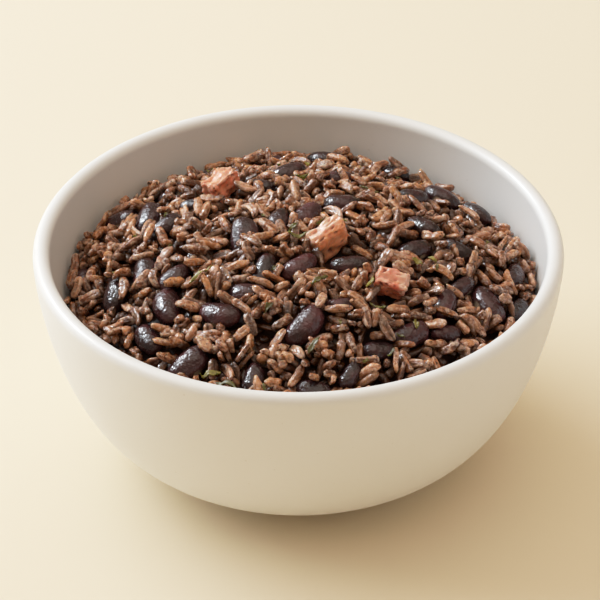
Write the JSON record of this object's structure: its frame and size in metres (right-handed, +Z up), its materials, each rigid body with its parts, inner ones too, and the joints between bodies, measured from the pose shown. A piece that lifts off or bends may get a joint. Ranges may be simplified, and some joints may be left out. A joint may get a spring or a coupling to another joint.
{
  "type": "bowl of rice and beans",
  "caption": "Deep round white bowl heaped with brown rice and black beans, with a few cubes of ham and flecks of herb on top.",
  "frame": {"origin": "middle of the bowl's foot, on the surface it stands on", "axes": "+Z up, +Y towards the back of the bowl as shown, +X to the right"},
  "size_m": [0.14, 0.14, 0.072],
  "materials": {
    "glaze": "satin white glaze",
    "rice": "moist brown cooked rice",
    "bean_skin": "wet purple-black bean skin",
    "ham": "moist pink-orange ham with pale fat"
  },
  "bodies": {
    "root": {"bean_01": "bean_skin", "bean_02": "bean_skin", "bean_03": "bean_skin", "bean_04": "bean_skin", "bean_05": "bean_skin", "bean_06": "bean_skin", "bean_07": "bean_skin", "bean_08": "bean_skin", "bean_09": "bean_skin", "bean_10": "bean_skin", "bean_11": "bean_skin", "bean_12": "bean_skin", "bean_13": "bean_skin", "bean_14": "bean_skin", "bean_15": "bean_skin", "bean_16": "bean_skin", "bean_17": "bean_skin", "bean_18": "bean_skin", "bean_19": "bean_skin", "bean_20": "bean_skin", "bean_21": "bean_skin", "bean_22": "bean_skin", "bean_23": "bean_skin", "bean_24": "bean_skin", "bean_25": "bean_skin", "bean_26": "bean_skin", "bean_27": "bean_skin", "bean_28": "bean_skin", "bean_29": "bean_skin", "bean_30": "bean_skin", "bean_31": "bean_skin", "bean_32": "bean_skin", "bean_33": "bean_skin", "bean_34": "bean_skin", "bean_35": "bean_skin", "bean_36": "bean_skin", "bean_37": "bean_skin", "bean_38": "bean_skin", "bean_39": "bean_skin", "bean_40": "bean_skin", "bean_41": "bean_skin", "bean_42": "bean_skin", "bean_43": "bean_skin", "bean_44": "bean_skin", "bean_45": "bean_skin", "bean_46": "bean_skin", "bean_47": "bean_skin", "bowl": "glaze", "ham_01": "ham", "ham_02": "ham", "ham_03": "ham", "rice_heap": "rice"}
  },
  "joints": []
}
